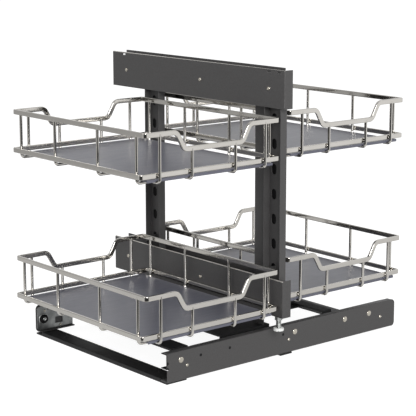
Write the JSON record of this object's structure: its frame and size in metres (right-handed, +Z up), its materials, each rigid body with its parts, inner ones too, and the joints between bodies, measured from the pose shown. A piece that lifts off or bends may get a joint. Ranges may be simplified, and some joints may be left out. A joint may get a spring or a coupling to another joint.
{
  "type": "blind corner organizer",
  "caption": "Pull-out organizer for a blind corner base cabinet: chrome wire baskets with solid trays on a dark steel frame that slides out on floor rails, the front baskets also sideways.",
  "frame": {"origin": "middle of the footprint on the cabinet floor, under the middle of the tracks", "axes": "+X to the right seen from the cabinet's front, +Y into the cabinet, +Z up; the carriage pulls out along -Y and the front baskets slide along -X"},
  "size_m": [0.421, 0.548, 0.445],
  "materials": {
    "frame_paint": "dark grey powder coat, satin",
    "zinc_plate": "bright zinc plate",
    "chrome_plate": "polished chrome plate",
    "slate_board": "smooth slate grey, satin",
    "white_nylon": "moulded, satin",
    "black_nylon": "moulded, satin"
  },
  "bodies": {
    "base": {"base_right_rail": "frame_paint", "base_front_strip": "frame_paint", "base_middle_strip": "frame_paint", "base_rear_strip": "frame_paint", "left_front_housing": "frame_paint", "left_front_plate": "zinc_plate", "left_rear_bracket": "frame_paint", "left_roller_pin": "zinc_plate", "right_slide_fixed": "frame_paint", "left_slide_fixed": "frame_paint", "rail_rivets": "zinc_plate"},
    "roller": {"left_roller": "black_nylon"},
    "slide_middles": {"right_slide_middle": "frame_paint", "left_slide_middle": "frame_paint"},
    "carriage": {"right_slide_inner": "frame_paint", "left_slide_inner": "frame_paint", "carriage_straps": "frame_paint", "carriage_front_beam": "frame_paint", "carriage_middle_beam": "frame_paint", "carriage_rear_beam": "frame_paint", "carriage_left_post": "frame_paint", "carriage_right_post": "frame_paint", "lower_track": "frame_paint", "upper_track": "frame_paint", "track_rivets": "zinc_plate", "foot_nut": "zinc_plate", "rear_hooks": "frame_paint", "lower_rear_basket_rail": "chrome_plate", "lower_rear_basket_ring": "chrome_plate", "lower_rear_basket_wires": "chrome_plate", "lower_rear_basket_tray": "slate_board", "upper_rear_basket_rail": "chrome_plate", "upper_rear_basket_ring": "chrome_plate", "upper_rear_basket_wires": "chrome_plate", "upper_rear_basket_tray": "slate_board"},
    "foot": {"foot_stem": "zinc_plate", "foot_pad": "white_nylon"},
    "slide_bars": {"lower_slide_bar": "zinc_plate", "upper_slide_bar": "zinc_plate"},
    "front_frame": {"lower_runner": "zinc_plate", "upper_runner": "zinc_plate", "front_left_post": "frame_paint", "front_right_post": "frame_paint", "front_hooks": "frame_paint", "lower_front_basket_rail": "chrome_plate", "lower_front_basket_ring": "chrome_plate", "lower_front_basket_wires": "chrome_plate", "lower_front_basket_tray": "slate_board", "upper_front_basket_rail": "chrome_plate", "upper_front_basket_ring": "chrome_plate", "upper_front_basket_wires": "chrome_plate", "upper_front_basket_tray": "slate_board"}
  },
  "joints": [
    {"name": "carriage_pull", "type": "slide", "parent": "base", "child": "carriage", "axis": [0, -1, 0], "range_m": [0, 0.46]},
    {"name": "slide_middle_pull", "type": "slide", "parent": "base", "child": "slide_middles", "axis": [0, -1, 0], "range_m": [0, 0.23]},
    {"name": "front_slide", "type": "slide", "parent": "carriage", "child": "front_frame", "axis": [-1, 0, 0], "range_m": [0, 0.345]},
    {"name": "slide_bar_slide", "type": "slide", "parent": "carriage", "child": "slide_bars", "axis": [-1, 0, 0], "range_m": [0, 0.1725]},
    {"name": "roller_turn", "type": "hinge", "parent": "base", "child": "roller", "pos_m": [-0.1669, -0.1915, 0.0235], "axis": [1, 0, 0], "continuous": true},
    {"name": "foot_adjust", "type": "slide", "parent": "carriage", "child": "foot", "axis": [0, 0, -1], "range_m": [0, 0.005]}
  ],
  "couplings": [
    {"joint": "slide_middle_pull", "follows": "carriage_pull", "ratio": 0.5},
    {"joint": "slide_bar_slide", "follows": "front_slide", "ratio": 0.5}
  ]
}
